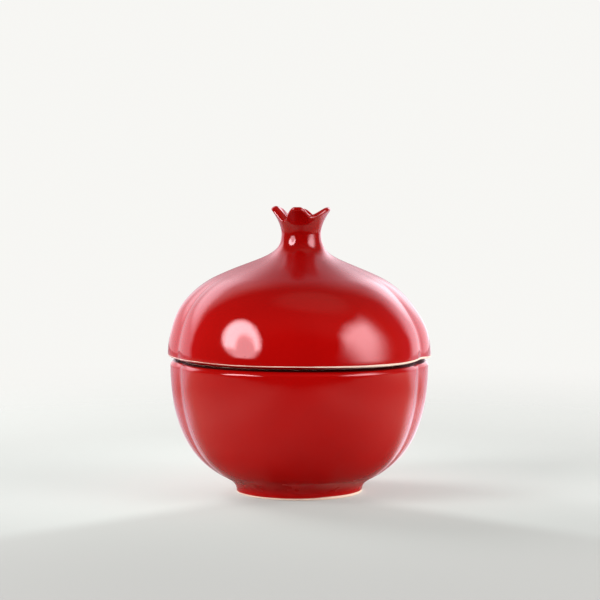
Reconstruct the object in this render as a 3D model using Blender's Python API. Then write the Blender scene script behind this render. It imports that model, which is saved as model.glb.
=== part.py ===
"""Lidded bowl for dry fruit, in the shape of a pomegranate, in red glazed ceramic.

It comes apart into two fired pieces: a lobed bowl on a foot ring, and a domed lid whose knob is the
fruit's flared calyx. A spigot under the lid drops into the mouth of the bowl. Both pieces are turned
from a half section, and the grooves between the lobes are then pressed into their walls.

Units are metres and +Z is up. The origin is the centre of the foot ring, on the table. The broad lobe
faces -Y. A half section lies in the XZ plane, where X is the radius at the crest of a lobe.
"""

import math

import bmesh
import bpy
from mathutils import Matrix, Vector
from mathutils.geometry import interpolate_bezier

# Bowl
BOWL_RADIUS = 0.0692
BOWL_HEIGHT = 0.0712
LIP_ROUND = 0.0030
WALL = 0.0045
FLOOR_THICKNESS = 0.0045
BELLY_SLOPE = math.radians(19)
BELLY_SWEEP = 0.0237
BELLY_RISE = 0.0341

# Foot ring
FOOT_RADIUS = 0.0335
FOOT_FLARE = 0.0012
FOOT_HEIGHT = 0.0052
FOOT_WIDTH = 0.0046
FOOT_RECESS = 0.0025
FOOT_CHAMFER = 0.0006

# Fit of the lid on the bowl
LID_OVERHANG = 0.0013
SEAT_CLEARANCE = 0.0003
LAND_DROP = 0.0010
LAND_MARGIN = 0.0002
SPIGOT_CLEARANCE = 0.0012
SPIGOT_DEPTH = 0.0060
SPIGOT_WALL = 0.0034

# Dome of the lid, with heights above its rim
RIM_ROUND = 0.0008
RIM_RISE = 0.0200
SHOULDER_RADIUS = 0.0436
SHOULDER_HEIGHT = 0.0424
SHOULDER_SLOPE = math.radians(25)
SHOULDER_SWEEP = 0.0154
NECK_SWEEP = 0.0247
NECK_DROP = 0.0126
NECK_RADIUS = 0.0105
NECK_HEIGHT = 0.0651
FLANGE_HEIGHT = 0.0120
HOLLOW_ROUND = 0.0060

# Calyx crown, with its height above the waist of the neck
CROWN_HEIGHT = 0.0127
CROWN_RADIUS = 0.0158
CROWN_WALL = 0.0026
FLARE_POWER = 1.8
CUP_DEPTH = 0.0125
CUP_ROUND = 0.0035
CUP_FLOOR = 0.0045

# Edge of the crown's four sepals: direction in degrees from the front towards +X, and its drop there
SEPAL_EDGE = (
    (-14, 0.0004),
    (-3, 0.0004),
    (25, 0.0046),
    (74, 0.0007),
    (88, 0.0006),
    (138, 0.0052),
    (176, 0.0016),
    (207, 0.0054),
    (250, 0.0004),
    (266, 0.0000),
    (310, 0.0066),
)

# The thickest sepal: its direction and half width in degrees, and what it adds to the crown's wall
THICK_SEPAL_AT = 270
THICK_SEPAL_HALF_WIDTH = 30
THICK_SEPAL = 0.0015

# How far the middle of the hand-formed lid stands off the axis towards +X, by height above the table
LID_LEAN = (
    (0.0840, 0.0000),
    (0.1030, -0.0012),
    (0.1180, -0.0012),
    (0.1330, 0.0010),
)

# Three lobes, with the broad one in front, and the grooves between them
FRONT_LOBE_HALF_WIDTH = math.radians(70)
GROOVE_DEPTH = 0.0030
LOBE_POWER = 4.5
LOBE_FADE = 0.0080

# Finishes
GLAZE_COLOUR = (0.45, 0.006, 0.006)
GLAZE_ROUGHNESS = 0.06
CLAY_COLOUR = (0.85, 0.72, 0.60)
CLAY_ROUGHNESS = 0.7

# Facets
TURN_STEPS = 72
SHARP_EDGE = math.radians(50)
MERGE_DISTANCE = 1e-6

# Heights above the table that several shapes share
LAND_HEIGHT = BOWL_HEIGHT + SEAT_CLEARANCE
RIM_HEIGHT = LAND_HEIGHT + LAND_DROP
WAIST_HEIGHT = RIM_HEIGHT + NECK_HEIGHT
EDGE_HEIGHT = WAIST_HEIGHT + CROWN_HEIGHT


def at(radius, height):
    """A point of a half section."""
    return Vector((radius, 0, height))


def heading(angle, length):
    """A step in a half section, with its angle counted up from the outward direction."""
    return at(math.cos(angle), math.sin(angle)) * length


def bezier(controls, segments):
    """Points along a Bezier curve given as its start, two handles and end."""
    return interpolate_bezier(*controls, segments + 1)


def arc(centre, across, up, start, end, segments):
    """Points along an arc of an ellipse, between two angles."""
    angles = [start + (end - start) * i / segments for i in range(segments + 1)]
    return [centre + at(across * math.cos(angle), up * math.sin(angle)) for angle in angles]


def inset(controls, distance):
    """The controls of a curve parallel to another one, to the left of its direction."""
    start, start_handle, end_handle, end = controls
    leaving = (start_handle - start).normalized()
    arriving = (end - end_handle).normalized()
    new_start = start + at(-leaving.z, leaving.x) * distance
    new_end = end + at(-arriving.z, arriving.x) * distance
    stretch = (new_end - new_start).length / (end - start).length
    new_start_handle = new_start + (start_handle - start) * stretch
    new_end_handle = new_end + (end_handle - end) * stretch
    return new_start, new_start_handle, new_end_handle, new_end


def join(*stretches):
    """One line of points from several stretches, with the points that they share kept once."""
    line = []
    for point in (point for stretch in stretches for point in stretch):
        if not line or (point - line[-1]).length > MERGE_DISTANCE:
            line.append(point)
    return line


def bowl_section():
    """Half section of the bowl, from the middle of its floor over the lip and down to the foot."""
    foot_top = at(FOOT_RADIUS + FOOT_FLARE, FOOT_HEIGHT)
    lip_start = at(BOWL_RADIUS, BOWL_HEIGHT - LIP_ROUND)
    belly = (
        foot_top,
        foot_top + heading(BELLY_SLOPE, BELLY_SWEEP),
        lip_start - at(0, BELLY_RISE),
        lip_start,
    )
    inside = inset(belly, WALL)
    floor_edge = inside[0]
    floor_height = FOOT_RECESS + FLOOR_THICKNESS
    floor = (
        at(0, floor_height),
        at(floor_edge.x / 2, floor_height),
        floor_edge - heading(BELLY_SLOPE, floor_edge.x / 4),
        floor_edge,
    )
    foot_side = (
        foot_top,
        foot_top - heading(BELLY_SLOPE, FOOT_FLARE),
        at(FOOT_RADIUS + FOOT_FLARE / 2, FOOT_HEIGHT / 2),
        at(FOOT_RADIUS, FOOT_CHAMFER),
    )
    foot_inner = FOOT_RADIUS - FOOT_WIDTH
    foot_sole = [at(FOOT_RADIUS - FOOT_CHAMFER, 0), at(foot_inner + FOOT_CHAMFER, 0)]
    recess_round = FOOT_RECESS - FOOT_CHAMFER
    recess_centre = at(foot_inner - recess_round, FOOT_CHAMFER)
    return join(
        bezier(floor, 3),
        bezier(inside, 9),
        arc(lip_start - at(WALL / 2, 0), WALL / 2, LIP_ROUND, math.pi, 0, 6),
        reversed(bezier(belly, 11)),
        bezier(foot_side, 3),
        foot_sole,
        arc(recess_centre, recess_round, recess_round, 0, math.pi / 2, 2),
        [at(0, FOOT_RECESS)],
    )


def flare(height):
    """Outer radius of the neck and crown at a height above the table."""
    share = max(0, height - WAIST_HEIGHT) / CROWN_HEIGHT
    return NECK_RADIUS + (CROWN_RADIUS - NECK_RADIUS) * share ** FLARE_POWER


def crown_section():
    """Half section of the crown, from the middle of its cup over the edge and down to the waist."""
    heights = [WAIST_HEIGHT + CROWN_HEIGHT * i / 5 for i in range(6)]
    outside = [at(flare(height), height) for height in heights]
    lean = math.atan2(outside[-1].x - outside[-2].x, outside[-1].z - outside[-2].z)
    to_inside = heading(math.pi - lean, CROWN_WALL)
    edge_round = CROWN_WALL / 2
    edge = arc(outside[-1] + to_inside / 2, edge_round, edge_round, math.pi - lean, -lean, 4)
    cup_height = EDGE_HEIGHT - CUP_DEPTH + CUP_ROUND
    cup_rim = at(flare(cup_height) - CROWN_WALL, cup_height)
    cup_side = (
        cup_rim,
        cup_rim + at(0, CUP_ROUND),
        edge[0] - heading(math.pi / 2 - lean, CUP_ROUND),
        edge[0],
    )
    return join(
        arc(at(0, cup_height), cup_rim.x, CUP_ROUND, -math.pi / 2, 0, 3),
        bezier(cup_side, 4),
        edge,
        reversed(outside),
    )


def lid_section():
    """Half section of the lid, from the crown's cup over the dome and round the spigot to the hollow."""
    lid_radius = BOWL_RADIUS + LID_OVERHANG
    rim_top = at(lid_radius, RIM_HEIGHT + RIM_ROUND)
    shoulder = at(SHOULDER_RADIUS, RIM_HEIGHT + SHOULDER_HEIGHT)
    waist = at(NECK_RADIUS, WAIST_HEIGHT)
    inward = heading(math.pi - SHOULDER_SLOPE, 1)
    dome = rim_top, rim_top + at(0, RIM_RISE), shoulder - inward * SHOULDER_SWEEP, shoulder
    sweep = shoulder, shoulder + inward * NECK_SWEEP, waist - at(0, NECK_DROP), waist

    spigot_radius = BOWL_RADIUS - WALL - SPIGOT_CLEARANCE
    spigot_round = SPIGOT_WALL / 2
    spigot_tip = at(spigot_radius - spigot_round, LAND_HEIGHT - SPIGOT_DEPTH + spigot_round)
    land_radius = BOWL_RADIUS - WALL / 2 + LAND_MARGIN
    seat = [
        at(land_radius + LAND_DROP / 2, RIM_HEIGHT),
        at(land_radius, LAND_HEIGHT),
        at(spigot_radius, LAND_HEIGHT),
    ]

    hollow_top = EDGE_HEIGHT - CUP_DEPTH - CUP_FLOOR
    flange_height = RIM_HEIGHT + FLANGE_HEIGHT
    inner_wall = join(bezier(inset(dome, WALL), 8), bezier(inset(sweep, WALL), 8))
    inner_wall = [point for point in inner_wall if flange_height < point.z < hollow_top - HOLLOW_ROUND]
    hollow_edge = inner_wall[-1]
    hollow = arc(at(0, hollow_edge.z), hollow_edge.x, hollow_top - hollow_edge.z, 0, math.pi / 2, 4)
    flange_foot = at(spigot_radius - SPIGOT_WALL, LAND_HEIGHT)
    flange_top = inner_wall[0]
    flange_reach = (flange_top.z - flange_foot.z) / 3
    flange = (
        flange_foot,
        flange_foot + at(0, flange_reach),
        flange_top + (flange_top - inner_wall[1]).normalized() * flange_reach,
        flange_top,
    )
    return join(
        crown_section(),
        reversed(bezier(sweep, 7)),
        reversed(bezier(dome, 8)),
        arc(rim_top - at(RIM_ROUND, 0), RIM_ROUND, RIM_ROUND, 0, -math.pi / 2, 2),
        seat,
        arc(spigot_tip, spigot_round, spigot_round, 0, -math.pi, 4),
        bezier(flange, 3),
        inner_wall,
        hollow,
    )


def turned(section):
    """A solid of revolution from a half section whose two ends lie on the axis."""
    mesh = bmesh.new()
    line = [mesh.verts.new(point) for point in section]
    edges = [mesh.edges.new(pair) for pair in zip(line, line[1:])]
    bmesh.ops.rotate(mesh, verts=line, cent=(0, 0, 0), matrix=Matrix.Rotation(-math.pi / 2, 3, "Z"))
    bmesh.ops.spin(
        mesh,
        geom=line + edges,
        cent=(0, 0, 0),
        axis=(0, 0, 1),
        angle=math.tau,
        steps=TURN_STEPS,
        use_merge=True,
    )
    bmesh.ops.remove_doubles(mesh, verts=mesh.verts, dist=MERGE_DISTANCE)
    bmesh.ops.recalc_face_normals(mesh, faces=mesh.faces)
    return mesh


def direction(point):
    """The angle of a point round the axis, counted from the front towards +X."""
    return math.atan2(point.x, -point.y)


def smooth_step(value):
    """0 below 0, 1 above 1 and a smooth rise between."""
    share = min(1, max(0, value))
    return share * share * (3 - 2 * share)


def off_crest(angle):
    """How far a direction lies from the crest of its lobe: 0 at the crest and 1 in a groove."""
    turn = abs(angle)
    if turn < FRONT_LOBE_HALF_WIDTH:
        return turn / FRONT_LOBE_HALF_WIDTH
    back_half_width = (math.pi - FRONT_LOBE_HALF_WIDTH) / 2
    back_crest = math.pi - back_half_width
    return abs(turn - back_crest) / back_half_width


def press_grooves(mesh):
    """Draw the walls in from the crests to the grooves, inner and outer faces together."""
    for vert in mesh.verts:
        above_foot = smooth_step((vert.co.z - FOOT_HEIGHT) / LOBE_FADE)
        below_neck = smooth_step((WAIST_HEIGHT - LOBE_FADE - vert.co.z) / LOBE_FADE)
        share = off_crest(direction(vert.co)) ** LOBE_POWER * above_foot * below_neck
        scale = 1 - share * GROOVE_DEPTH / BOWL_RADIUS
        vert.co.x *= scale
        vert.co.y *= scale


def edge_drop(angle):
    """How far the crown's edge lies below its highest tip in a direction."""
    first_turn, first_drop = SEPAL_EDGE[0]
    turn = (math.degrees(angle) - first_turn) % 360
    marks = [(mark - first_turn, drop) for mark, drop in SEPAL_EDGE] + [(360, first_drop)]
    for (start, start_drop), (end, end_drop) in zip(marks, marks[1:]):
        if turn <= end:
            return start_drop + (end_drop - start_drop) * smooth_step((turn - start) / (end - start))


def thick_sepal(angle):
    """What the thickest sepal adds to the crown's wall in a direction."""
    away = abs((math.degrees(angle) - THICK_SEPAL_AT + 180) % 360 - 180)
    return THICK_SEPAL * smooth_step(2 - away / THICK_SEPAL_HALF_WIDTH)


def cut_sepals(mesh):
    """Lower the crown's edge between its sepals, along the same flare, and thicken one of them inward."""
    for vert in mesh.verts:
        height = vert.co.z - WAIST_HEIGHT
        radius = vert.co.xy.length
        if height > 0 and radius > MERGE_DISTANCE:
            angle = direction(vert.co)
            drop = edge_drop(angle) * min(1, height / CROWN_HEIGHT)
            inside = min(1, max(0, flare(vert.co.z) - radius) / CROWN_WALL)
            inside *= smooth_step(3 * height / CROWN_HEIGHT - 1)
            shift = flare(vert.co.z - drop) - flare(vert.co.z) - inside * thick_sepal(angle)
            scale = 1 + shift / radius
            vert.co = vert.co.x * scale, vert.co.y * scale, vert.co.z - drop


def lean_lid(mesh):
    """Move each level of the lid sideways by the lid's own unevenness."""
    for vert in mesh.verts:
        height = vert.co.z
        for (start, start_shift), (end, end_shift) in zip(LID_LEAN, LID_LEAN[1:]):
            if height > start:
                share = smooth_step((height - start) / (end - start))
                vert.co.x += (end_shift - start_shift) * share


def finish(name, colour, roughness):
    """A ceramic finish."""
    material = bpy.data.materials.new(name)
    material.use_nodes = True
    shader = material.node_tree.nodes["Principled BSDF"]
    shader.inputs["Base Color"].default_value = (*colour, 1)
    shader.inputs["Roughness"].default_value = roughness
    shader.inputs["Metallic"].default_value = 0
    return material


def add_piece(name, mesh, glaze, clay, bare_height):
    """Make an object of a finished mesh, with bare clay on its faces below a height."""
    for face in mesh.faces:
        face.material_index = int(face.calc_center_median().z < bare_height)
    data = bpy.data.meshes.new(name)
    mesh.to_mesh(data)
    mesh.free()
    data.materials.append(glaze)
    data.materials.append(clay)
    data.shade_smooth()
    data.set_sharp_from_angle(angle=SHARP_EDGE)
    piece = bpy.data.objects.new(name, data)
    bpy.context.scene.collection.objects.link(piece)


def main():
    for old in list(bpy.data.objects):
        bpy.data.objects.remove(old)
    glaze = finish("red_glaze", GLAZE_COLOUR, GLAZE_ROUGHNESS)
    clay = finish("bare_clay", CLAY_COLOUR, CLAY_ROUGHNESS)

    # The foot is wiped bare where it stands in the kiln
    bowl = turned(bowl_section())
    press_grooves(bowl)
    add_piece("bowl", bowl, glaze, clay, FOOT_CHAMFER)

    # The rim and the spigot are bare, so that the lid doesn't stick to the bowl in the kiln
    lid = turned(lid_section())
    press_grooves(lid)
    cut_sepals(lid)
    lean_lid(lid)
    add_piece("lid", lid, glaze, clay, RIM_HEIGHT + RIM_ROUND)


main()
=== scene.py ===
"""Studio picture of the lidded dry fruit bowl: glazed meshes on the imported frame, pale floor, soft light.

The bowl and the lid are meshed again from half sections close to those of the solids, finely enough for
a high gloss. Here the clay edges are rounder, the lip is softer and the cove above the foot is wider.
Units are metres and +Z is up. The front of the object faces -Y.
"""

import math

import bpy
import numpy as np
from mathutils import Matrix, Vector
from mathutils.geometry import interpolate_bezier


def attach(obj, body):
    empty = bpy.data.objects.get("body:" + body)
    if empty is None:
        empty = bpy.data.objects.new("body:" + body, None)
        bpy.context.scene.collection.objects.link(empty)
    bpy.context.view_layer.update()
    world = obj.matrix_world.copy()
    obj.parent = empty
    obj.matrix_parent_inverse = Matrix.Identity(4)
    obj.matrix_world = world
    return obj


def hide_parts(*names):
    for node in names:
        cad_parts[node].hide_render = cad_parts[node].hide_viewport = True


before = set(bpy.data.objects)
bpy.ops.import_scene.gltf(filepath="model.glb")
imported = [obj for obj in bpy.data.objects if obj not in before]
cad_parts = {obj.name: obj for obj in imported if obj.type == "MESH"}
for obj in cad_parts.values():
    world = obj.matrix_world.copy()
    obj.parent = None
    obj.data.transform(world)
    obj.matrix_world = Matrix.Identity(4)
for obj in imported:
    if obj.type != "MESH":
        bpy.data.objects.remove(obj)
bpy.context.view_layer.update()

# Bowl
BOWL_RADIUS = 0.0692
BOWL_HEIGHT = 0.0712
LIP_ROUND = 0.0032
LIP_INSET = 0.0027
LIP_SOFTNESS = 0.0007
WALL = 0.0045
FLOOR_THICKNESS = 0.0045
BELLY_SLOPE = math.radians(32.5)
BELLY_SWEEP = 0.0170
BELLY_RISE = 0.0280

# Foot ring and the cove above it, whose lower handle lies at a share of the foot's height
FOOT_RADIUS = 0.0335
FOOT_FLARE = 0.0130
FOOT_HEIGHT = 0.0118
FOOT_WIDTH = 0.0046
FOOT_RECESS = 0.0025
FOOT_ROUND = 0.0008
COVE_REACH = 0.0076
COVE_BOTTOM = 0.6

# Fit of the lid on the bowl
LID_OVERHANG = 0.0013
SEAT_CLEARANCE = 0.0003
LAND_DROP = 0.0010
LAND_MARGIN = 0.0007
SPIGOT_CLEARANCE = 0.0012
SPIGOT_DEPTH = 0.0060
SPIGOT_WALL = 0.0034
CLAY_ROUND = 0.0003

# Dome of the lid, with heights above its rim
RIM_ROUND = 0.0008
RIM_RISE = 0.0200
BARE_RISE = 0.0005
SHOULDER_RADIUS = 0.0436
SHOULDER_HEIGHT = 0.0424
SHOULDER_SLOPE = math.radians(25)
SHOULDER_SWEEP = 0.0154
NECK_SWEEP = 0.0247
NECK_DROP = 0.0126
NECK_RADIUS = 0.0105
NECK_HEIGHT = 0.0651
FLANGE_HEIGHT = 0.0120
HOLLOW_ROUND = 0.0060

# Calyx crown, with its height above the waist of the neck
CROWN_HEIGHT = 0.0126
CROWN_RADIUS = 0.0158
CROWN_WALL = 0.0026
FLARE_POWER = 1.8
CUP_DEPTH = 0.0125
CUP_ROUND = 0.0035
CUP_FLOOR = 0.0045

# Edge of the crown's sepals: direction in degrees from the front towards +X, and its drop there
SEPAL_EDGE = (
    (-14, 0.0004),
    (-3, 0.0004),
    (25, 0.0046),
    (74, 0.0007),
    (88, 0.0006),
    (138, 0.0052),
    (176, 0.0016),
    (207, 0.0054),
    (250, 0.0004),
    (266, 0.0000),
    (310, 0.0066),
)

# The thickest sepal: its direction and half width in degrees, and what it adds to the crown's wall
THICK_SEPAL_AT = 270
THICK_SEPAL_HALF_WIDTH = 30
THICK_SEPAL = 0.0015

# How far the middle of the hand-formed lid stands off the axis towards +X, by height above the table
LID_LEAN = (
    (0.0840, 0.0000),
    (0.1030, -0.0012),
    (0.1180, -0.0012),
    (0.1330, 0.0010),
)

# Lobes and the grooves between them
FRONT_LOBE_HALF_WIDTH = math.radians(70)
GROOVE_DEPTH = 0.0030
GROOVE_SOFTNESS = 0.02
LOBE_POWER = 4.5
LOBE_START = 0.0060
LOBE_FADE = 0.0080

# Sag of the lid's rim as it was fired, by distance from the middle towards +X
RIM_SAG = (
    (-0.060, -0.0005),
    (-0.030, 0.0000),
    (-0.008, 0.0000),
    (0.050, 0.0007),
)
SAG_FADE = 0.0250

# Shallow dents of the walls: waves round the piece, their climb in radians per metre, and their start
DENT_WAVES = (
    (5, 60, 0.4),
    (9, -210, 2.1),
    (3, 330, 4.0),
    (14, 130, 5.2),
)
DENT_DEPTH = 0.00005

# Painted shade down the bowl's lip, in the gap under the lid, and bare clay up its foot, both narrower away
# from one direction
CREST_DROP = 0.0010
SOLE_RISE = 0.0018
NARROWING = 0.0005
WIDEST_AT = math.radians(62)
WIDEST_SPAN = math.radians(23)
WIDEST_FADE = math.radians(45)

# Softness of the edges between bare clay, painted gap shade and plain glaze, and how unevenly the bare edge
# runs
BARE_EDGE = -0.00008, 0.00010
GAP_SHADE_EDGE = 0.0, 0.0007
EDGE_WOBBLE = 0.0004

# Glaze that has run thin on an edge, by how sharply the surface bulges there, in 1/m
THIN_FROM = 150
THIN_FADE = 700

# Colour that is darker towards the neck, and a little less so in the crown, by height above the table
DARKER_FROM = 0.088
DARKER_FADE = 0.034
PALER_FROM = 0.122
PALER_FADE = 0.024
PALER_SHARE = 0.35

# Roughness, the roughness where shade is painted in the gap, and what the cove above the foot and the root
# of the neck add to it, by height at the neck
GLOSS = 0.045, 0.065
GAP_SHADE_ROUGHNESS = 0.25
CLAY_ROUGHNESS = 0.72
COVE_SOFTNESS = 0.22
COVE_FADE = 0.0040
NECK_SOFTNESS = 0.19
NECK_SOFT_RISE = 0.108, 0.118
NECK_SOFT_END = 0.133, 0.124

# Colours of glaze and clay, with two tones for each that is uneven
RED = (0.400, 0.0011, 0.0009, 1), (0.450, 0.0019, 0.0014, 1)
DARKER_RED = (0.255, 0.0007, 0.0006, 1), (0.290, 0.0010, 0.0008, 1)
CLAY = (0.80, 0.60, 0.47, 1), (0.95, 0.78, 0.66, 1)
THIN_RED = 0.56, 0.030, 0.016, 1
PINHOLE_RED = 0.10, 0.002, 0.002, 1
# Near-black painted shade for the gap between the lid's rim and the bowl's lip
PAINTED_GAP_SHADE = 0.035, 0.0010, 0.0010, 1
MIRROR_TINT = 1.0, 0.62, 0.67, 1
GLAZE_IOR = 1.8

# Patterns of the material, in repeats per metre
CLOUD_SCALE = 45
GLOSS_SCALE = 60
WOBBLE_SCALE = 90
PINHOLE_SCALE = 125
RIPPLE_SCALE = 220
MOTTLE_SCALE = 300
GRAIN_SCALE = 2200

# Middle stretch of a noise, the share of thin glaze over it, and a pinhole's edge as a share of its cell
NOISE_MIDDLE = 0.3, 0.7
MOTTLE = 0.25, 0.6
PINHOLE_EDGE = 0.032, 0.014
PINHOLE_SHARE = 0.8

# Relief: its height, how strongly it shows, and pinholes and clay grain against the glaze's ripple
RELIEF_HEIGHT = 0.0002
RELIEF_STRENGTH = 0.12
PINHOLE_RELIEF = -1.5
GRAIN_RELIEF = 1.5

# Floor: its tones to the camera, those that light the bowl from below, and those that the glaze mirrors
FLOOR_RADIUS = 1.6
FLOOR_STEPS = 96
# The camera's tones hold a painted shade in front of the bowl and painted light near it beside and behind
FLOOR_FRONT = 0.43, 0.432, 0.416, 1
FLOOR_BACK = 0.60, 0.625, 0.600, 1
FLOOR_ASIDE = 0.72, 0.765, 0.735, 1
# Share of the floor that glows to the camera, painted light that lightens its shadow
FLOOR_GLOW = 0.4
BOUNCE_NEAR = 0.64, 0.64, 0.62, 1
BOUNCE_FAR = 0.46, 0.46, 0.45, 1
MIRRORED_FRONT = 1.03, 1.0, 0.82, 1
MIRRORED_BACK = 1.03, 1.0, 1.12, 1

# Room: the backdrop that the camera sees, and the walls and lamps that only the bowl sees
BACKDROP = 0.93, 0.925, 0.90, 1
ROOM_FRONT = 1.10, 1.0, 0.80, 1
ROOM_BACK = 1.14, 1.0, 1.10, 1
LAMP_WHITE = 1, 1, 1, 1

# Brightness of the patches on the ceiling and wall, of the lamps, and of lamps in a second reflection
CEILING_PATCH = 0.13
LEFT_PATCH = 1.30
RIGHT_PATCH = 1.35
LEFT_LAMP = 10.8
LEFT_LAMP_CORE = 4.8
RIGHT_LAMP = 5.6
SECOND_REFLECTION = 0.15

# Fill lamps and camera, with the lens in millimetres and the dip of the view in degrees
FILL_SIZE = 0.5
FILL_AIM = 0, 0, 0.06
CAMERA_PLACE = 0.000366, -1.05, 0.16628
CAMERA_DIP = 3.488
LENS = 118.65
SENSOR_WIDTH = 36

TURN_STEPS = 360

LAND_HEIGHT = BOWL_HEIGHT + SEAT_CLEARANCE
RIM_HEIGHT = LAND_HEIGHT + LAND_DROP
WAIST_HEIGHT = RIM_HEIGHT + NECK_HEIGHT
EDGE_HEIGHT = WAIST_HEIGHT + CROWN_HEIGHT
LAND_RADIUS = BOWL_RADIUS - WALL / 2 - LAND_MARGIN
LID_RADIUS = BOWL_RADIUS + LID_OVERHANG
SPIGOT_RADIUS = BOWL_RADIUS - WALL - SPIGOT_CLEARANCE


# Half sections

def at(radius, height):
    """A point of a half section."""
    return Vector((radius, height))


def heading(angle, length):
    """A step in a half section, with its angle counted up from the outward direction."""
    return at(math.cos(angle), math.sin(angle)) * length


def bezier(controls, segments):
    """Points along a Bezier curve given as its start, two handles and end."""
    return interpolate_bezier(*[point.to_3d() for point in controls], segments + 1)


def arc(centre, across, up, start, end, segments):
    """Points along an arc of an ellipse, between two angles."""
    angles = [start + (end - start) * i / segments for i in range(segments + 1)]
    return [centre + at(across * math.cos(angle), up * math.sin(angle)) for angle in angles]


def inset(controls, distance):
    """The controls of a curve parallel to another one, to the left of its direction."""
    start, start_handle, end_handle, end = controls
    leaving = (start_handle - start).normalized()
    arriving = (end - end_handle).normalized()
    new_start = start + at(-leaving.y, leaving.x) * distance
    new_end = end + at(-arriving.y, arriving.x) * distance
    stretch = (new_end - new_start).length / (end - start).length
    new_start_handle = new_start + (start_handle - start) * stretch
    new_end_handle = new_end + (end_handle - end) * stretch
    return new_start, new_start_handle, new_end_handle, new_end


def clay_corner(corner, before, after):
    """Points that round off a corner of the clay between two neighbouring points."""
    pull = 0.6
    start = corner + (before - corner).normalized() * CLAY_ROUND
    end = corner + (after - corner).normalized() * CLAY_ROUND
    return bezier((start, start.lerp(corner, pull), end.lerp(corner, pull), end), segments=4)


def join(*stretches):
    """One array of points from several stretches, with the points that they share kept once."""
    least_step = 1e-6
    line = []
    for point in (point for stretch in stretches for point in stretch):
        if not line or (point.to_2d() - line[-1]).length > least_step:
            line.append(point.to_2d())
    return np.array(line)


def bowl_section():
    """From the middle of the bowl's floor over its lip and down to the foot."""
    foot_top = at(FOOT_RADIUS + FOOT_FLARE, FOOT_HEIGHT)
    lip_start = at(BOWL_RADIUS, BOWL_HEIGHT - LIP_ROUND)
    belly = (
        foot_top,
        foot_top + heading(BELLY_SLOPE, BELLY_SWEEP),
        lip_start - at(0, BELLY_RISE),
        lip_start,
    )
    crest = lip_start + at(-LIP_INSET, LIP_ROUND)
    lip = lip_start, lip_start + at(0, LIP_SOFTNESS), crest + at(LIP_SOFTNESS, 0), crest
    lip_centre = lip_start - at(LIP_INSET, 0)
    inside = inset(belly, WALL)
    floor_edge = inside[0]
    floor_height = FOOT_RECESS + FLOOR_THICKNESS
    floor = (
        at(0, floor_height),
        at(floor_edge.x / 2, floor_height),
        floor_edge - heading(BELLY_SLOPE, floor_edge.x / 4),
        floor_edge,
    )
    foot_side = (
        foot_top,
        foot_top - heading(BELLY_SLOPE, COVE_REACH),
        at(FOOT_RADIUS, FOOT_HEIGHT * COVE_BOTTOM),
        at(FOOT_RADIUS, FOOT_ROUND),
    )
    foot_inner = FOOT_RADIUS - FOOT_WIDTH
    outer_centre = at(FOOT_RADIUS - FOOT_ROUND, FOOT_ROUND)
    inner_centre = at(foot_inner + FOOT_ROUND, FOOT_ROUND)
    recess_round = FOOT_RECESS - FOOT_ROUND
    recess_centre = at(foot_inner - recess_round, FOOT_ROUND)
    recess_shares = [i / 10 for i in range(8, -1, -1)]
    return join(
        bezier(floor, segments=20),
        bezier(inside, segments=50),
        arc(lip_centre, WALL - LIP_INSET, LIP_ROUND, math.pi, math.pi / 2, segments=12),
        reversed(bezier(lip, segments=30)),
        reversed(bezier(belly, segments=60)),
        bezier(foot_side, segments=24),
        arc(outer_centre, FOOT_ROUND, FOOT_ROUND, 0, -math.pi / 2, segments=6),
        arc(inner_centre, FOOT_ROUND, FOOT_ROUND, -math.pi / 2, -math.pi, segments=6),
        arc(recess_centre, recess_round, recess_round, 0, math.pi / 2, segments=6),
        [at(foot_inner * share, FOOT_RECESS) for share in recess_shares],
    )


def flare(height):
    """Outer radius of the neck and crown at a height above the table."""
    share = np.maximum(0, height - WAIST_HEIGHT) / CROWN_HEIGHT
    return NECK_RADIUS + (CROWN_RADIUS - NECK_RADIUS) * share ** FLARE_POWER


def crown_section():
    """From the middle of the crown's cup over the edge and down to the waist."""
    steps = 24
    heights = [WAIST_HEIGHT + CROWN_HEIGHT * i / steps for i in range(steps + 1)]
    outside = [at(flare(height), height) for height in heights]
    lean = math.atan2(outside[-1].x - outside[-2].x, outside[-1].y - outside[-2].y)
    to_inside = heading(math.pi - lean, CROWN_WALL)
    edge_round = CROWN_WALL / 2
    edge_centre = outside[-1] + to_inside / 2
    edge = arc(edge_centre, edge_round, edge_round, math.pi - lean, -lean, segments=16)
    cup_height = EDGE_HEIGHT - CUP_DEPTH + CUP_ROUND
    cup_rim = at(flare(cup_height) - CROWN_WALL, cup_height)
    cup_side = (
        cup_rim,
        cup_rim + at(0, CUP_ROUND),
        edge[0] - heading(math.pi / 2 - lean, CUP_ROUND),
        edge[0],
    )
    return join(
        arc(at(0, cup_height), cup_rim.x, CUP_ROUND, -math.pi / 2, 0, segments=12),
        bezier(cup_side, segments=18),
        edge,
        reversed(outside),
    )


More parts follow.
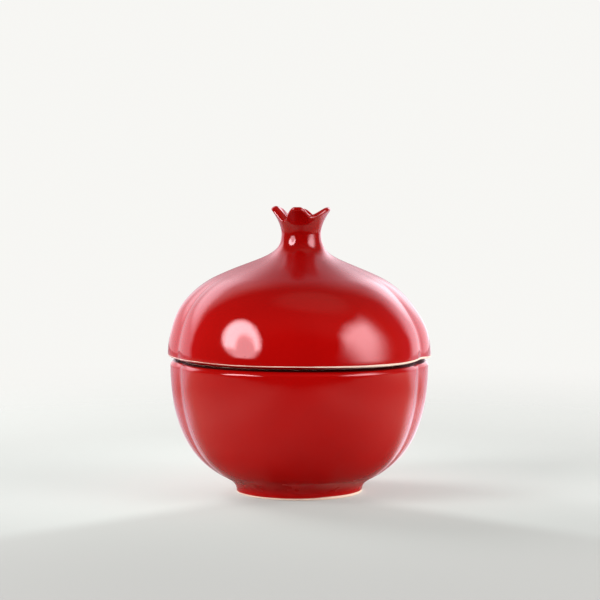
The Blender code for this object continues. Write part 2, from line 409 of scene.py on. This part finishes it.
def lid_section():
    """From the crown's cup over the dome and round the spigot to the hollow inside."""
    rim_top = at(LID_RADIUS, RIM_HEIGHT + RIM_ROUND)
    rim_centre = rim_top - at(RIM_ROUND, 0)
    shoulder = at(SHOULDER_RADIUS, RIM_HEIGHT + SHOULDER_HEIGHT)
    waist = at(NECK_RADIUS, WAIST_HEIGHT)
    inward = heading(math.pi - SHOULDER_SLOPE, 1)
    dome = rim_top, rim_top + at(0, RIM_RISE), shoulder - inward * SHOULDER_SWEEP, shoulder
    sweep = shoulder, shoulder + inward * NECK_SWEEP, waist - at(0, NECK_DROP), waist

    spigot_round = SPIGOT_WALL / 2
    spigot_tip = at(SPIGOT_RADIUS - spigot_round, LAND_HEIGHT - SPIGOT_DEPTH + spigot_round)
    spigot_side = spigot_tip + at(spigot_round, 0)
    rim_inner = at(LAND_RADIUS + LAND_DROP / 2, RIM_HEIGHT)
    land_outer = at(LAND_RADIUS, LAND_HEIGHT)
    land_inner = at(SPIGOT_RADIUS, LAND_HEIGHT)

    hollow_top = EDGE_HEIGHT - CUP_DEPTH - CUP_FLOOR
    flange_height = RIM_HEIGHT + FLANGE_HEIGHT
    inner_wall = join(bezier(inset(dome, WALL), segments=50), bezier(inset(sweep, WALL), segments=50))
    inner_wall = [at(*p) for p in inner_wall if flange_height < p[1] < hollow_top - HOLLOW_ROUND]
    hollow_edge = inner_wall[-1]
    hollow_centre = at(0, hollow_edge.y)
    flange_foot = at(SPIGOT_RADIUS - SPIGOT_WALL, LAND_HEIGHT)
    flange_top = inner_wall[0]
    flange_reach = (flange_top.y - flange_foot.y) / 3
    flange = (
        flange_foot,
        flange_foot + at(0, flange_reach),
        flange_top + (flange_top - inner_wall[1]).normalized() * flange_reach,
        flange_top,
    )
    return join(
        [at(*p) for p in crown_section()],
        reversed(bezier(sweep, segments=70)),
        reversed(bezier(dome, segments=60)[1:]),
        [rim_top + at(0, BARE_RISE)],
        arc(rim_centre, RIM_ROUND, RIM_ROUND, 0, -math.pi / 2, segments=12),
        clay_corner(rim_inner, rim_top, land_outer),
        clay_corner(land_outer, rim_inner, land_inner),
        clay_corner(land_inner, land_outer, spigot_side),
        arc(spigot_tip, spigot_round, spigot_round, 0, -math.pi, segments=14),
        bezier(flange, segments=24),
        inner_wall,
        arc(hollow_centre, hollow_edge.x, hollow_top - hollow_edge.y, 0, math.pi / 2, segments=14),
    )


# Meshes

def smooth_step(value):
    """0 below 0, 1 above 1 and a smooth rise between."""
    share = np.clip(value, 0, 1)
    return share * share * (3 - 2 * share)


def stepped(marks, value):
    """A smooth change from each mark of a list to the next, with the first and last kept outside it."""
    result = marks[0][1]
    for (start, before), (end, after) in zip(marks, marks[1:]):
        result = result + (after - before) * smooth_step((value - start) / (end - start))
    return result


def off_crest(angle):
    """How far a direction lies from the crest of its lobe: 0 at the crest and 1 in a groove."""
    turn = np.abs(angle)
    back_half_width = (math.pi - FRONT_LOBE_HALF_WIDTH) / 2
    back = np.abs(turn - math.pi + back_half_width) / back_half_width
    sharp = np.where(turn < FRONT_LOBE_HALF_WIDTH, turn / FRONT_LOBE_HALF_WIDTH, back)
    from_groove = np.hypot(1 - sharp, GROOVE_SOFTNESS) - GROOVE_SOFTNESS
    return 1 - from_groove


def groove_scale(angle, height):
    """What the lobes leave of the radius in a direction."""
    above_foot = smooth_step((height - LOBE_START) / LOBE_FADE)
    below_neck = smooth_step((WAIST_HEIGHT - LOBE_FADE - height) / LOBE_FADE)
    share = off_crest(angle) ** LOBE_POWER * above_foot * below_neck
    return 1 - share * GROOVE_DEPTH / BOWL_RADIUS


def edge_drop(angle):
    """How far the crown's edge lies below its highest tip in a direction."""
    marks = np.array(SEPAL_EDGE + ((SEPAL_EDGE[0][0] + 360, SEPAL_EDGE[0][1]),))
    turn = (np.degrees(angle) - marks[0, 0]) % 360 + marks[0, 0]
    span = np.clip(np.searchsorted(marks[:, 0], turn, side="right") - 1, 0, len(SEPAL_EDGE) - 1)
    start, start_drop = marks[span].T
    end, end_drop = marks[span + 1].T
    return start_drop + (end_drop - start_drop) * smooth_step((turn - start) / (end - start))


def thick_sepal(angle):
    """How much thicker than the others the left sepal is in a direction."""
    away = (np.degrees(angle) - THICK_SEPAL_AT + 180) % 360 - 180
    return THICK_SEPAL * smooth_step(2 - np.abs(away) / THICK_SEPAL_HALF_WIDTH)


def dents(angle, height):
    """Shallow waves in the walls, from 0 to 1."""
    waves = sum(np.sin(turns * angle + climb * height + start) for turns, climb, start in DENT_WAVES)
    return 0.5 + waves / (2 * len(DENT_WAVES))


def turn_angles():
    """Directions of the points in a ring, from the back over -X, the front and +X."""
    return np.linspace(-math.pi, math.pi, TURN_STEPS, endpoint=False)


def turned(section):
    """Rings of points round the axis, one for each point of a half section between its two ends."""
    angle = turn_angles()[None, :]
    radius = section[1:-1, :1]
    height = section[1:-1, 1:]
    wall = smooth_step((radius - NECK_RADIUS) / NECK_RADIUS)
    dented = radius * groove_scale(angle, height) - DENT_DEPTH * dents(angle, height) * wall
    up_crown = (height - WAIST_HEIGHT) / CROWN_HEIGHT
    drop = edge_drop(angle[0]) * np.clip(up_crown, 0, 1)
    # The thick sepal swells inwards, over the middle third of the crown's height
    inner = np.clip((flare(height) - radius) / CROWN_WALL, 0, 1) * smooth_step(up_crown * 3 - 1)
    radius = dented + flare(height - drop) - flare(height) - inner * thick_sepal(angle)
    return np.stack([radius * np.sin(angle), -radius * np.cos(angle), height - drop], axis=-1)


def hand_formed(rings):
    """Lean each level of the lid sideways, and let its rim sag on one side."""
    height = rings[..., 2].copy()
    rings[..., 0] += stepped(LID_LEAN, height)
    radius = np.hypot(rings[..., 0], rings[..., 1])
    at_rim = smooth_step((RIM_HEIGHT + SAG_FADE - height) / SAG_FADE)
    at_rim = at_rim * smooth_step((radius - LAND_RADIUS - LAND_DROP) / (BOWL_RADIUS - LAND_RADIUS))
    rings[..., 2] -= at_rim * stepped(RIM_SAG, rings[..., 0])
    return rings


def curvature(rings):
    """How sharply the surface bulges at each point, in 1/m, from the bends along and round it."""
    tiny = 1e-9
    left = np.roll(rings, 1, axis=1)
    right = np.roll(rings, -1, axis=1)
    normal = np.cross(right - left, np.gradient(rings, axis=0))
    normal /= np.maximum(1e-12, np.linalg.norm(normal, axis=-1, keepdims=True))
    padded = np.concatenate([rings[:1], rings, rings[-1:]])
    total = 0
    for before, after in ((padded[:-2], padded[2:]), (left, right)):
        leaving = after - rings
        arriving = rings - before
        ahead = np.linalg.norm(leaving, axis=-1, keepdims=True) + tiny
        behind = np.linalg.norm(arriving, axis=-1, keepdims=True) + tiny
        bend = (leaving / ahead - arriving / behind) / (ahead + behind) * 2
        total = total - (bend * normal).sum(axis=-1)
    return total


def closed_mesh(name, section, rings):
    """A mesh over rings of points, closed by a fan round a middle point at each end."""
    middles = [rings[0].mean(axis=0), rings[-1].mean(axis=0)]
    points = np.concatenate([rings.reshape(-1, 3), middles])
    points[-2:, 2] = section[0, 1], section[-1, 1]
    index = np.arange(len(rings) * TURN_STEPS).reshape(-1, TURN_STEPS)
    following = np.roll(index, -1, axis=1)
    quads = np.stack([index[:-1], index[1:], following[1:], following[:-1]], axis=-1)
    first = len(points) - 2
    last = len(points) - 1
    faces = quads.reshape(-1, 4).tolist()
    faces += [(first, a, b) for a, b in zip(index[0].tolist(), following[0].tolist())]
    faces += [(last, b, a) for a, b in zip(index[-1].tolist(), following[-1].tolist())]
    mesh = bpy.data.meshes.new(name)
    mesh.from_pydata(points.tolist(), [], faces)
    mesh.update()
    mesh.shade_smooth()
    return mesh


# Glaze on the meshes

def stretch_depth(section, stretches):
    """How far each point between a section's ends lies inside some stretches, along the section."""
    steps = np.linalg.norm(np.diff(section, axis=0), axis=1)
    along = np.concatenate([[0], np.cumsum(steps)])
    depth = np.full(len(section), -1.0)
    for start, end in stretches:
        first = np.argmin(np.linalg.norm(section - np.array(start), axis=1))
        last = np.argmin(np.linalg.norm(section - np.array(end), axis=1))
        depth = np.maximum(depth, np.minimum(along - along[first], along[last] - along))
    return depth[1:-1, None]


def narrowing(angle):
    """How much less of the edges is bare or painted with shade in a direction than where that is widest."""
    away = np.abs((angle - WIDEST_AT + math.pi) % math.tau - math.pi)
    return NARROWING * smooth_step((away - WIDEST_SPAN) / WIDEST_FADE)


def darkening(height):
    """How much darker the colour is at a height, from 0 to 1."""
    towards_neck = smooth_step((height - DARKER_FROM) / DARKER_FADE)
    in_crown = smooth_step((height - PALER_FROM) / PALER_FADE)
    return towards_neck * (1 - PALER_SHARE * in_crown)


def set_attribute(mesh, name, ring_values, end_values):
    """Store a value for each point of the rings, and for the middle points at the two ends."""
    values = np.concatenate([ring_values.ravel(), end_values])
    attribute = mesh.attributes.new(name, "FLOAT", "POINT")
    attribute.data.foreach_set("value", values.astype(np.float32))


def mark_glaze(mesh, section, rings, bare, painted_gap_shade, soft):
    """Store on a mesh where it is bare, where shade is painted in the gap between lid and bowl, where its
    glaze is soft or thin, and how much darker it is towards the neck.
    """
    narrower = narrowing(turn_angles())
    for name, stretches in (("bare", bare), ("painted_gap_shade", painted_gap_shade)):
        set_attribute(mesh, name, stretch_depth(section, stretches) - narrower, (-1, -1))
    softness = smooth_step(stretch_depth(section, soft) / COVE_FADE)
    set_attribute(mesh, "soft_glaze", np.repeat(softness, TURN_STEPS, axis=1), (0, 0))
    thinness = smooth_step((curvature(rings) - THIN_FROM) / THIN_FADE)
    set_attribute(mesh, "thin_glaze", thinness, (0, 0))
    set_attribute(mesh, "darker_towards_neck", darkening(rings[..., 2]), darkening(section[[0, -1], 1]))


def add_piece(name, mesh, material, body):
    """An object that rides on a body and stands for its solid."""
    mesh.materials.append(material)
    piece = bpy.data.objects.new(name, mesh)
    bpy.context.scene.collection.objects.link(piece)
    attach(piece, body)
    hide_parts(body)


def add_bowl(glaze):
    """The bowl, bare on its sole, with painted shade along its lip where the lid shades it, and softer in
    the cove above the foot.
    """
    section = bowl_section()
    rings = turned(section)
    sole = (FOOT_RADIUS, SOLE_RISE), (FOOT_RADIUS - FOOT_WIDTH, FOOT_ROUND)
    # Painted shade on the lip's crest, in the gap under the lid's rim
    crest = (BOWL_RADIUS - WALL, BOWL_HEIGHT - LIP_ROUND / 2), (BOWL_RADIUS, BOWL_HEIGHT - CREST_DROP)
    cove = (FOOT_RADIUS + FOOT_FLARE, FOOT_HEIGHT), (FOOT_RADIUS, 0)
    mesh = closed_mesh("glazed_bowl", section, rings)
    mark_glaze(mesh, section, rings, bare=[sole], painted_gap_shade=[crest], soft=[cove])
    add_piece("glazed_bowl", mesh, glaze, "bowl")


def add_lid(glaze):
    """The lid, bare along its rim and on its spigot, with painted shade under the rim."""
    section = lid_section()
    rings = hand_formed(turned(section))
    rim_centre = at(LID_RADIUS - RIM_ROUND, RIM_HEIGHT + RIM_ROUND)
    rim_middle = rim_centre + heading(-math.pi / 3, RIM_ROUND)
    rim = (LID_RADIUS, RIM_HEIGHT + RIM_ROUND + BARE_RISE), rim_middle
    spigot = (LAND_RADIUS - CLAY_ROUND, LAND_HEIGHT), (SPIGOT_RADIUS - SPIGOT_WALL, LAND_HEIGHT)
    # Painted shade under the rim, in the gap above the bowl's lip
    under_rim = rim_middle, (LAND_RADIUS, LAND_HEIGHT)
    mesh = closed_mesh("glazed_lid", section, rings)
    mark_glaze(mesh, section, rings, bare=[rim, spigot], painted_gap_shade=[under_rim], soft=[])
    add_piece("glazed_lid", mesh, glaze, "lid")


# Materials

class Nodes:
    """Short calls that add nodes to a tree and link them."""

    def __init__(self, tree):
        self.tree = tree
        tree.nodes.clear()

    def add(self, kind, **settings):
        """A new node with some of its settings."""
        node = self.tree.nodes.new("ShaderNode" + kind)
        for name, value in settings.items():
            setattr(node, name, value)
        return node

    def feed(self, socket, value):
        """Link another node's output to a socket, or set a constant on it."""
        if isinstance(value, bpy.types.NodeSocket):
            self.tree.links.new(value, socket)
        else:
            socket.default_value = value

    def feed_all(self, node, values):
        """Feed a node's inputs in their order, and give its first output."""
        for socket, value in zip(node.inputs, values):
            self.feed(socket, value)
        return node.outputs[0]

    def math(self, operation, *values):
        return self.feed_all(self.add("Math", operation=operation), values)

    def total(self, first, *others):
        for other in others:
            first = self.math("ADD", first, other)
        return first

    def product(self, first, *others):
        for other in others:
            first = self.math("MULTIPLY", first, other)
        return first

    def ramp(self, value, low, high, start=0.0, end=1.0):
        """A smooth change from start to end while the value goes from low to high."""
        node = self.add("MapRange", interpolation_type="SMOOTHSTEP")
        return self.feed_all(node, (value, low, high, start, end))

    def blend(self, share, first, second):
        """A mix of two colours, which a Mix node has as its seventh and eighth inputs."""
        node = self.add("Mix", data_type="RGBA")
        self.feed(node.inputs[0], share)
        self.feed(node.inputs[6], first)
        self.feed(node.inputs[7], second)
        return node.outputs[2]

    def mix(self, share, first, second):
        """A mix of two shaders."""
        return self.feed_all(self.add("MixShader"), (share, first, second))

    def split(self, vector):
        """The three coordinates of a vector."""
        node = self.add("SeparateXYZ")
        self.feed(node.inputs[0], vector)
        return node.outputs

    def noise(self, place, scale, detail):
        node = self.add("TexNoise")
        self.feed(node.inputs["Vector"], place)
        self.feed(node.inputs["Scale"], scale)
        self.feed(node.inputs["Detail"], detail)
        return node.outputs["Fac"]

    def attribute(self, name):
        return self.add("Attribute", attribute_name=name).outputs["Fac"]

    def finish(self, kind, shader):
        """Make a shader the tree's result."""
        output = self.add(kind)
        self.feed(output.inputs["Surface"], shader)


def pinholes(nodes, place):
    """1 in the few small pits of the glaze and 0 around them."""
    cells = nodes.add("TexVoronoi")
    nodes.feed(cells.inputs["Vector"], place)
    nodes.feed(cells.inputs["Scale"], PINHOLE_SCALE)
    return nodes.ramp(cells.outputs["Distance"], *PINHOLE_EDGE)


def bare_clay(nodes, place):
    """1 where the clay is bare and 0 under glaze, with an uneven edge."""
    wobble = nodes.total(nodes.noise(place, WOBBLE_SCALE, detail=3), -0.5)
    inside = nodes.total(nodes.attribute("bare"), nodes.product(wobble, EDGE_WOBBLE))
    return nodes.ramp(inside, *BARE_EDGE)


def glaze_colour(nodes, place, pinhole, painted_gap_shade):
    """Cloudy red, darker towards the neck, brighter where it is thin, and with painted shade in the gap
    between lid and bowl.
    """
    cloud = nodes.noise(place, CLOUD_SCALE, detail=2)
    red = nodes.blend(cloud, *RED)
    red = nodes.blend(nodes.attribute("darker_towards_neck"), red, nodes.blend(cloud, *DARKER_RED))
    mottle = nodes.ramp(nodes.noise(place, MOTTLE_SCALE, detail=2), *NOISE_MIDDLE, *MOTTLE)
    red = nodes.blend(nodes.product(nodes.attribute("thin_glaze"), mottle), red, THIN_RED)
    red = nodes.blend(nodes.product(pinhole, PINHOLE_SHARE), red, PINHOLE_RED)
    # Painted shade in the gap between lid and bowl
    return nodes.blend(painted_gap_shade, red, PAINTED_GAP_SHADE)


def roughness(nodes, place, painted_gap_shade, bare):
    """High gloss, softer in the coves and where shade is painted in the gap, and dull on bare clay."""
    gloss = nodes.ramp(nodes.noise(place, GLOSS_SCALE, detail=2), *NOISE_MIDDLE, *GLOSS)
    height = nodes.split(place)[2]
    neck = nodes.product(
        nodes.ramp(height, *NECK_SOFT_RISE),
        nodes.ramp(height, *NECK_SOFT_END),
        NECK_SOFTNESS,
    )
    cove = nodes.product(nodes.attribute("soft_glaze"), COVE_SOFTNESS)
    gloss = nodes.ramp(painted_gap_shade, 0, 1, nodes.total(gloss, neck, cove), GAP_SHADE_ROUGHNESS)
    return nodes.ramp(bare, 0, 1, gloss, CLAY_ROUGHNESS)


def ceramic():
    """Red gloss glaze with a faint ripple and pinholes, over pale grainy clay."""
    material = bpy.data.materials.new("red_glaze")
    material.use_nodes = True
    nodes = Nodes(material.node_tree)
    place = nodes.add("TexCoord").outputs["Object"]
    pinhole = pinholes(nodes, place)
    # Painted shade in the gap between lid and bowl
    painted_gap_shade = nodes.ramp(nodes.attribute("painted_gap_shade"), *GAP_SHADE_EDGE)
    bare = bare_clay(nodes, place)
    grain = nodes.noise(place, GRAIN_SCALE, detail=3)
    relief = nodes.total(
        nodes.noise(place, RIPPLE_SCALE, detail=1),
        nodes.product(pinhole, PINHOLE_RELIEF),
        nodes.product(grain, bare, GRAIN_RELIEF),
    )
    bump = nodes.add("Bump")
    nodes.feed(bump.inputs["Strength"], RELIEF_STRENGTH)
    nodes.feed(bump.inputs["Distance"], RELIEF_HEIGHT)
    nodes.feed(bump.inputs["Height"], relief)

    shader = nodes.add("BsdfPrincipled")
    glaze = glaze_colour(nodes, place, pinhole, painted_gap_shade)
    nodes.feed(shader.inputs["Base Color"], nodes.blend(bare, glaze, nodes.blend(grain, *CLAY)))
    nodes.feed(shader.inputs["Roughness"], roughness(nodes, place, painted_gap_shade, bare))
    nodes.feed(shader.inputs["IOR"], GLAZE_IOR)
    nodes.feed(shader.inputs["Specular Tint"], MIRROR_TINT)
    nodes.feed(shader.inputs["Normal"], bump.outputs[0])
    nodes.finish("OutputMaterial", shader.outputs[0])
    return material


# Studio

def seen_floor(nodes, beside, north, reach):
    """The floor as the camera sees it: darker in front, a painted shade of the bowl, and brightest near it
    behind on either side, painted light that lifts its shadow.
    """
    pale = nodes.blend(nodes.ramp(north, -0.40, 0.0), FLOOR_FRONT, FLOOR_BACK)
    # Painted light that lifts the bowl's shadow near it, behind and on either side
    aside = nodes.product(
        nodes.ramp(nodes.total(beside, north), -0.02, 0.02),
        nodes.ramp(reach, 0.28, 0.06),
    )
    return nodes.blend(aside, pale, FLOOR_ASIDE)


def mirrored_floor(nodes, east, beside, north, reach):
    """The floor as the glaze mirrors it, in painted tones: dim and warm in front and under the bowl, with a
    painted shadow under it, and bright behind.
    """
    front = nodes.product(
        nodes.ramp(beside, 0.02, 0.16, 0.16, 0.37),
        nodes.ramp(north, -0.50, -0.32, 0.08, 1.0),
    )
    back = nodes.ramp(east, -0.10, 0.10, 0.66, 1.25)
    offset = nodes.total(north, nodes.product(beside, -0.42))
    behind = nodes.ramp(offset, -0.065, nodes.ramp(reach, 0.15, 0.40, 0.045, 0.22))
    # Painted shadow of the bowl near its foot, seen only in the glaze
    under = nodes.math(
        "MAXIMUM",
        nodes.ramp(reach, 0.036, 0.085, 0.14, 1.0),
        nodes.ramp(beside, 0.008, 0.028, 0.0, 0.75),
    )
    tone = nodes.product(
        nodes.ramp(behind, 0, 1, front, back),
        nodes.ramp(reach, 0.12, 0.40, 1.0, 0.58),
        under,
    )
    scaled = nodes.add("VectorMath", operation="SCALE")
    nodes.feed(scaled.inputs[0], nodes.blend(behind, MIRRORED_FRONT, MIRRORED_BACK))
    nodes.feed(scaled.inputs["Scale"], tone)
    return scaled.outputs[0]


def floor_material():
    """Pale floor that fades into the backdrop, with tones of its own for each kind of ray."""
    material = bpy.data.materials.new("studio_floor")
    material.use_nodes = True
    nodes = Nodes(material.node_tree)
    place = nodes.add("TexCoord").outputs["Object"]
    east, north, _ = nodes.split(place)
    beside = nodes.math("ABSOLUTE", east)
    length = nodes.add("VectorMath", operation="LENGTH")
    nodes.feed(length.inputs[0], place)
    reach = length.outputs["Value"]
    path = nodes.add("LightPath")
    to_camera = path.outputs["Is Camera Ray"]

    pale = seen_floor(nodes, beside, north, reach)
    bounce = nodes.blend(nodes.ramp(reach, 0.05, 0.14), BOUNCE_NEAR, BOUNCE_FAR)
    mirrored = mirrored_floor(nodes, east, beside, north, reach)
    colour = nodes.blend(path.outputs["Is Glossy Ray"], bounce, mirrored)
    colour = nodes.blend(to_camera, colour, pale)
    diffuse = nodes.feed_all(nodes.add("BsdfDiffuse"), [colour])
    glow = nodes.feed_all(nodes.add("Emission"), [pale])
    # The floor glows to the camera, painted light that lightens its shadow and the red cast from the bowl
    ground = nodes.mix(nodes.product(to_camera, FLOOR_GLOW), diffuse, glow)
    clear = nodes.add("BsdfTransparent").outputs[0]
    fade = nodes.product(nodes.ramp(reach, 0.10, 0.75), to_camera)
    nodes.finish("OutputMaterial", nodes.mix(fade, ground, clear))
    return material


def add_floor():
    """A round floor under the bowl."""
    mesh = bpy.data.meshes.new("studio_floor")
    turns = [math.tau * i / FLOOR_STEPS for i in range(FLOOR_STEPS)]
    ring = [(FLOOR_RADIUS * math.sin(turn), FLOOR_RADIUS * math.cos(turn), 0) for turn in turns]
    mesh.from_pydata(ring, [], [list(range(FLOOR_STEPS))[::-1]])
    mesh.materials.append(floor_material())
    floor = bpy.data.objects.new("studio_floor", mesh)
    bpy.context.scene.collection.objects.link(floor)


class Sky(Nodes):
    """Nodes of the room around the bowl, where a direction is given in degrees.

    Fall is its angle from straight up. Side and back are the parts of that angle towards +X and +Y.
    """

    def __init__(self, tree):
        super().__init__(tree)
        east, north, up = self.split(self.add("TexCoord").outputs["Generated"])
        self.fall = self.math("DEGREES", self.math("ARCCOSINE", up))
        level_squared = self.math("SUBTRACT", 1.0, self.product(up, up))
        level = self.math("SQRT", self.math("MAXIMUM", 1e-6, level_squared))
        self.side = self.math("DIVIDE", self.product(self.fall, east), level)
        self.back = self.math("DIVIDE", self.product(self.fall, north), level)

    def spot(self, middle, half, edge, tilt=0.0, power=2.0):
        """1 inside an ellipse given by its middle and half sizes, 0 outside, with a soft edge."""
        across = self.total(self.side, -middle[0])
        along = self.total(self.back, -middle[1], self.product(across, -tilt))
        across = self.math("ABSOLUTE", self.math("DIVIDE", across, half[0]))
        along = self.math("ABSOLUTE", self.math("DIVIDE", along, half[1]))
        distance = self.total(self.math("POWER", across, power), self.math("POWER", along, power))
        return self.ramp(distance, edge[1], edge[0])

    def ceiling(self):
        """Dim above, a little brighter overhead, and darkest in front."""
        above = self.ramp(self.back, -62, -36, 0.02, self.ramp(self.side, -15, 30, 0.06, 0.10))
        patch = self.spot(middle=(9, -4), half=(24, 17), edge=(0.2, 1.3))
        return self.total(above, self.product(patch, CEILING_PATCH))

    def back_wall(self):
        """Brightness of the white wall behind: less in the middle, and more to the right."""
        beside = self.math("ABSOLUTE", self.side)
        wide = self.ramp(beside, 20, 40)
        high = self.ramp(wide, 0, 1, self.ramp(self.side, -5, 8, 0.85, 0.65), 1.0)
        low = self.ramp(wide, 0, 1, 1.25, 1.0)
        return self.product(
            self.ramp(self.side, -15, 15, 0.95, 1.50),
            self.ramp(beside, 4, 22, 0.30, 1.0),
            self.ramp(self.back, 50, 72, high, low),
        )

    def walls(self):
        """Ceiling and back wall, with the soft edge between them and two bright patches."""
        side = self.side
        start = self.total(self.ramp(side, 15, 60, 14, 32), self.ramp(side, -20, -65, 0, 9))
        end = self.total(self.ramp(side, -15, 15, 38, 54), self.ramp(side, 38, 55, 0, 4))
        aside = self.total(self.ramp(side, 58, 76, 0, 10), self.ramp(side, -60, -78, 0, 12))
        start = self.total(start, aside)
        end = self.total(end, aside)
        left_patch = self.spot(middle=(-36, 49), half=(31, 13), edge=(0.0, 1.5), tilt=0.29)
        right_patch = self.spot(middle=(26, 60), half=(15, 15), edge=(0.0, 1.5))
        return self.total(
            self.ramp(self.back, start, end, self.ceiling(), self.back_wall()),
            self.product(left_patch, LEFT_PATCH),
            self.product(right_patch, RIGHT_PATCH),
        )

    def left_lamp(self):
        """A round lamp to the left, with a duller core."""
        lamp = self.spot(middle=(-55.5, -40), half=(18.7, 26.0), edge=(0.50, 1.45), power=2.5)
        core = self.spot(middle=(-59, -54), half=(14, 19), edge=(0.3, 1.7), tilt=0.45)
        core = self.math("MAXIMUM", core, self.ramp(self.fall, 72, 81))
        brightness = self.ramp(core, 0, 1, LEFT_LAMP, LEFT_LAMP_CORE)
        return self.product(lamp, brightness, self.ramp(self.fall, 88.5, 85.5))

    def right_lamp(self):
        """A wide lamp to the right, with a slanting top and a long fade."""
        side = self.side
        back = self.back
        rim = self.total(33.0, self.ramp(back, -62, -40, 9, 0), self.ramp(back, -28, -8, 0, 5))
        top = self.total(-13.0, self.product(self.total(side, -42.0), -0.55))
        return self.product(
            self.ramp(side, self.total(rim, -2.0), self.total(rim, 14.0), 0.0, RIGHT_LAMP),
            self.ramp(side, 58, 104, 1.0, 0.36),
            self.ramp(back, top, 4, 1.0, 0.04),
            self.ramp(back, -68, -36, 0.07, 1.0),
            self.ramp(back, -80, -62),
            self.ramp(back, 12, 0),
            self.ramp(self.fall, 94, 89),
        )

    def background(self, colour, strength):
        return self.feed_all(self.add("Background"), (colour, strength))


def add_light():
    """White studio walls behind, a dim front and ceiling, and a soft lamp on each side."""
    world = bpy.data.worlds.new("studio")
    bpy.context.scene.world = world
    world.use_nodes = True
    sky = Sky(world.node_tree)
    path = sky.add("LightPath")
    colour = sky.blend(sky.ramp(sky.back, 5, 45), ROOM_FRONT, ROOM_BACK)
    room = sky.background(colour, sky.walls())
    # The lamps are dimmer in a reflection of a reflection, where they would streak the neck
    dimmed = sky.ramp(path.outputs["Glossy Depth"], 1.2, 1.8, 1.0, SECOND_REFLECTION)
    lamps = sky.product(sky.total(sky.left_lamp(), sky.right_lamp()), dimmed)
    light = sky.feed_all(sky.add("AddShader"), (room, sky.background(LAMP_WHITE, lamps)))
    backdrop = sky.background(BACKDROP, 1.0)
    sky.finish("OutputWorld", sky.mix(path.outputs["Is Camera Ray"], light, backdrop))


def add_fill(name, place, power):
    """A wide lamp that lifts the shade without a reflection of its own."""
    data = bpy.data.lights.new(name, "AREA")
    data.shape = "DISK"
    data.size = FILL_SIZE
    data.energy = power
    fill = bpy.data.objects.new(name, data)
    fill.location = place
    fill.rotation_euler = (Vector(FILL_AIM) - fill.location).to_track_quat("-Z", "Y").to_euler()
    fill.visible_glossy = False
    fill.visible_camera = False
    bpy.context.scene.collection.objects.link(fill)


def add_camera():
    """The photograph's view: a long lens, a little above the lid."""
    data = bpy.data.cameras.new("camera")
    data.sensor_width = SENSOR_WIDTH
    data.lens = LENS
    camera = bpy.data.objects.new("camera", data)
    camera.location = CAMERA_PLACE
    camera.rotation_euler = math.radians(90 - CAMERA_DIP), 0, 0
    bpy.context.scene.collection.objects.link(camera)
    bpy.context.scene.camera = camera


def main():
    glaze = ceramic()
    add_bowl(glaze)
    add_lid(glaze)
    add_floor()
    add_light()
    add_fill("fill_right", (0.85, 0.10, 0.12), 5.0)
    add_fill("fill_left", (-0.65, 0.50, 0.60), 6.5)
    add_camera()
    bpy.context.scene.view_settings.view_transform = "Standard"


main()
